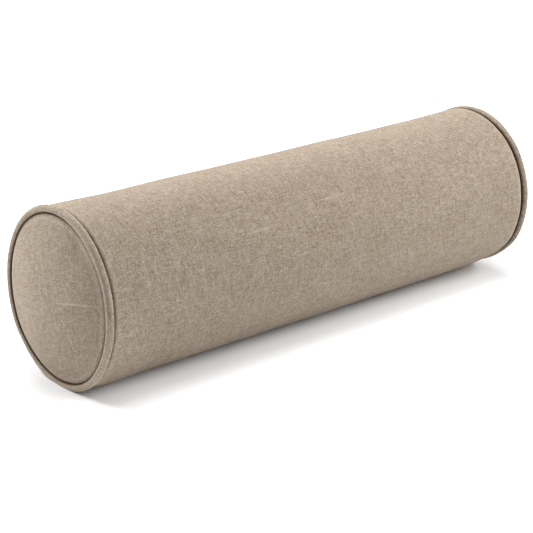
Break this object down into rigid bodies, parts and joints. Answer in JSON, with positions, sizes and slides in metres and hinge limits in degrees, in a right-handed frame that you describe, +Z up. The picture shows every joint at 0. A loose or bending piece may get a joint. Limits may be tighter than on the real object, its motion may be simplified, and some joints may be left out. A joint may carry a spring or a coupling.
{
  "type": "bolster pillow",
  "caption": "Round bolster pillow in linen with crowned, piped ends and a hidden zip along the back over a removable foam and wadding insert.",
  "frame": {"origin": "bottom centre: on the resting surface, under the middle of the bolster", "axes": "+Z up; X along the bolster; +Y towards the back, where the zip is; -Y is the front"},
  "size_m": [0.6868, 0.2072, 0.2042],
  "materials": {
    "linen": "matte",
    "linen_piping": "matte",
    "cotton": "matte",
    "wadding": "matte",
    "foam": "matte",
    "zip_tape": "matte",
    "zip_coil": "satin",
    "zip_metal": "satin"
  },
  "bodies": {
    "pillow": {"cover_sleeve": "linen", "left_end_panel": "linen", "right_end_panel": "linen", "left_piping_cover": "linen_piping", "right_piping_cover": "linen_piping", "left_piping_cord": "cotton", "right_piping_cord": "cotton", "zip_tape_upper": "zip_tape", "zip_tape_lower": "zip_tape", "zip_coil_upper": "zip_coil", "zip_coil_lower": "zip_coil", "zip_bottom_stop": "zip_metal", "zip_top_stop_upper": "zip_metal", "zip_top_stop_lower": "zip_metal", "insert_case": "cotton", "insert_left_end": "cotton", "insert_right_end": "cotton", "wadding_wrap": "wadding", "left_wadding_pad": "wadding", "right_wadding_pad": "wadding", "foam_core": "foam"},
    "slider": {"zip_slider": "zip_metal"},
    "pull": {"zip_pull": "zip_metal"}
  },
  "joints": [
    {"name": "zip_slide", "type": "slide", "parent": "pillow", "child": "slider", "axis": [-1, 0, 0], "range_m": [0, 0.476], "deforming": ["zip_coil_upper", "zip_coil_lower"]},
    {"name": "zip_pull_hinge", "type": "hinge", "parent": "slider", "child": "pull", "pos_m": [0.24, 0.09985, 0.11642], "axis": [0, 0.1564, -0.9877], "range_deg": [0, 170]}
  ]
}
